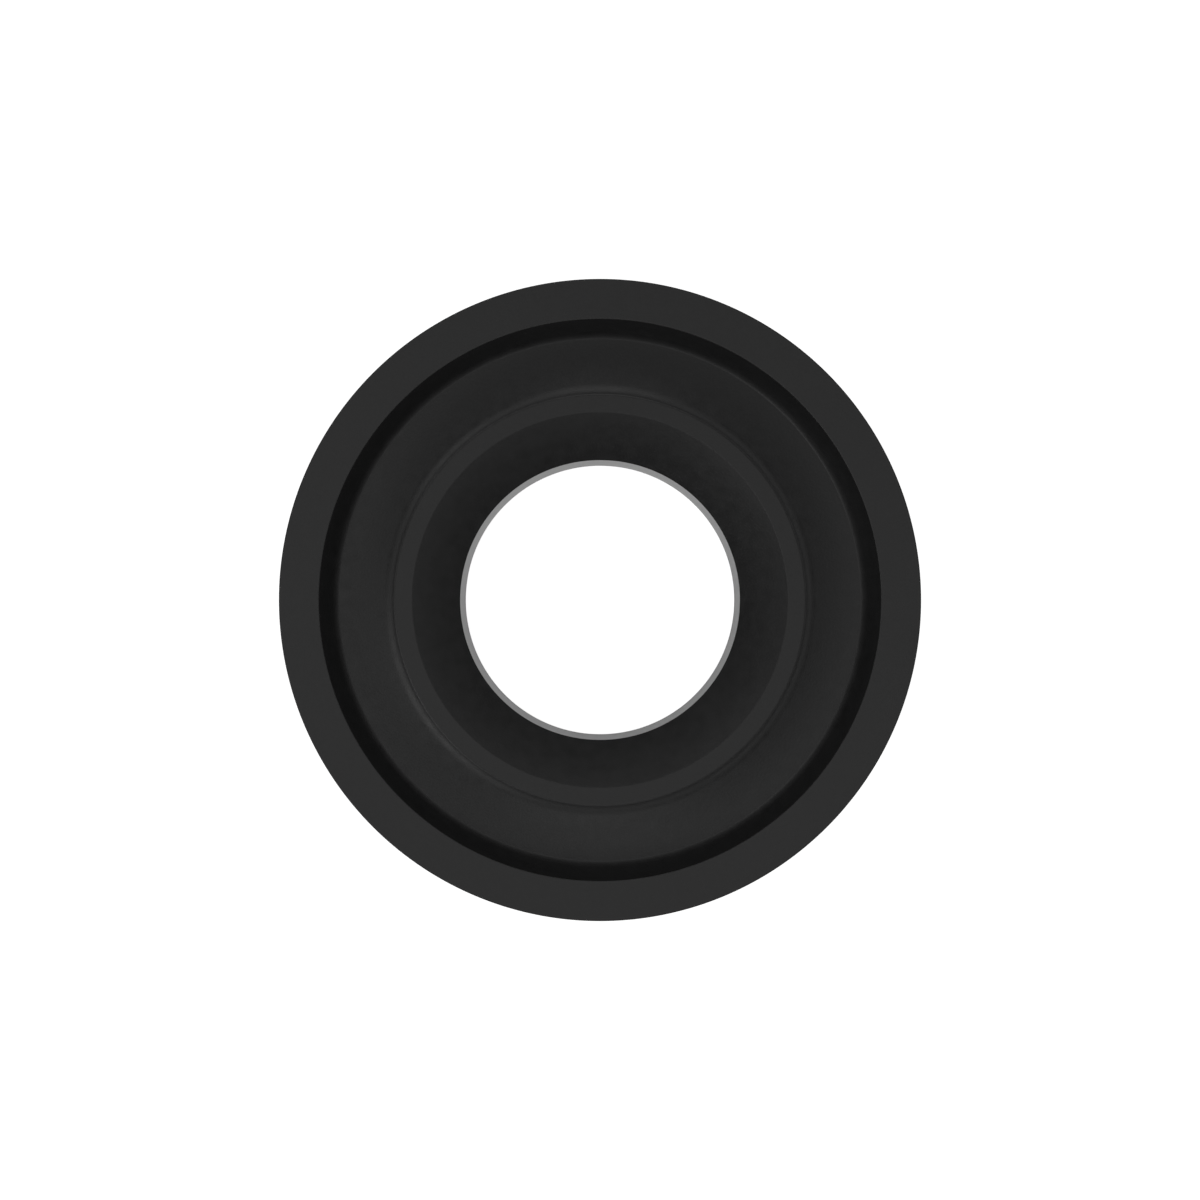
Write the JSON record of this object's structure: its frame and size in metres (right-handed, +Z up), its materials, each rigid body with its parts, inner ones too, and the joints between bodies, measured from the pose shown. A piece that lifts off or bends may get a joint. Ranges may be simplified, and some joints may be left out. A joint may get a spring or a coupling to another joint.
{
  "type": "flanged bushing",
  "caption": "Round flanged bushing with a recessed flange face, a bell-mouthed bore and a metal sleeve lining the bore.",
  "frame": {"origin": "centre of the barrel's lower end, on the bore's axis", "axes": "+Z up the bore's axis, from the barrel's lower end out through the flange's recessed face; the part is round about Z"},
  "size_m": [0.036, 0.036, 0.0121],
  "materials": {
    "black_polymer": "satin black moulding",
    "grey_metal": "fine turned grey"
  },
  "bodies": {
    "root": {"bushing_body": "black_polymer", "bore_liner": "grey_metal"}
  },
  "joints": []
}
